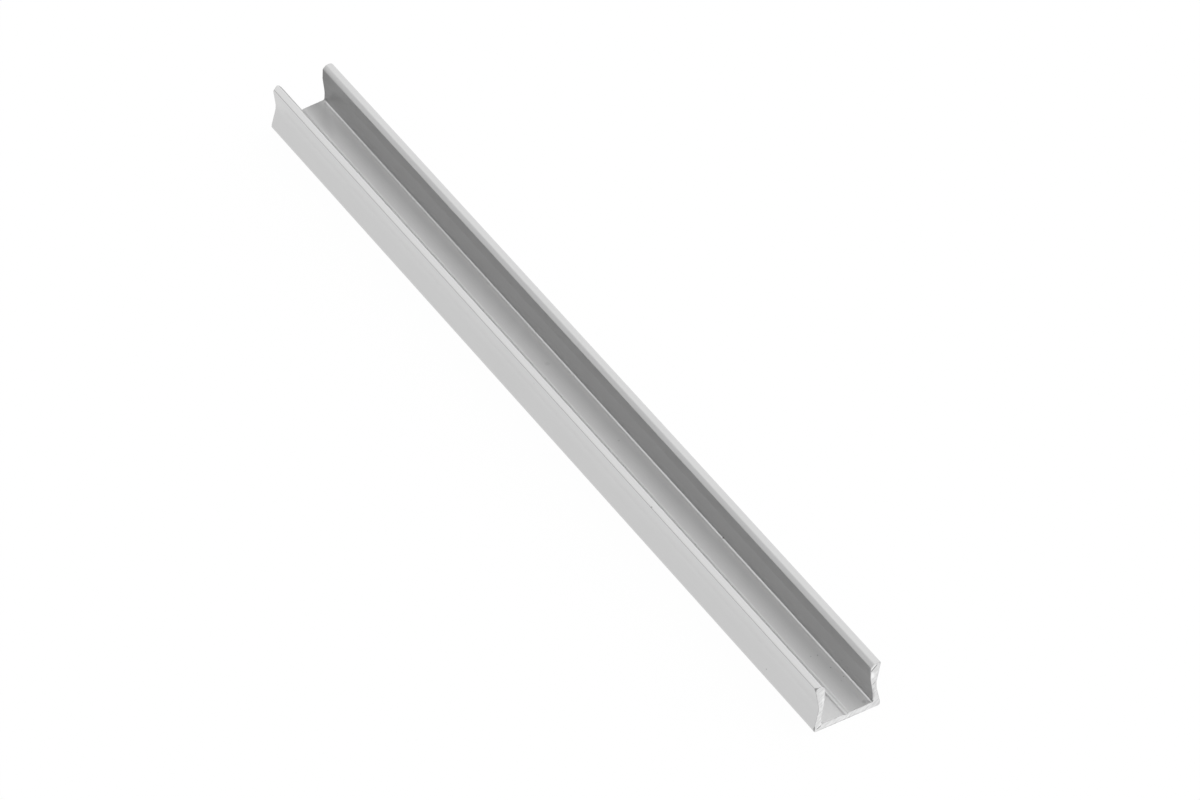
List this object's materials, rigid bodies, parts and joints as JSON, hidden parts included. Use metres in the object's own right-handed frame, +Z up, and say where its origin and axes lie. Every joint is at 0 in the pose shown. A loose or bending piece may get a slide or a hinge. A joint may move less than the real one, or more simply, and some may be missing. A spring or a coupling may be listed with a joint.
{
  "type": "aluminium extrusion profile",
  "caption": "Straight U-shaped aluminium extrusion with pinched side walls, inward lips and a scored floor, made to hold and cover a lighting strip.",
  "frame": {"origin": "centre of the underside, at the middle of the length and of the width, on the floor", "axes": "+X along the length, +Y across the width from one wall to the other, +Z up out of the open side"},
  "size_m": [0.228, 0.016, 0.0122],
  "materials": {
    "satin_aluminium": "satin silver anodised, saw-cut ends"
  },
  "bodies": {
    "root": {"u_channel": "satin_aluminium"}
  },
  "joints": []
}
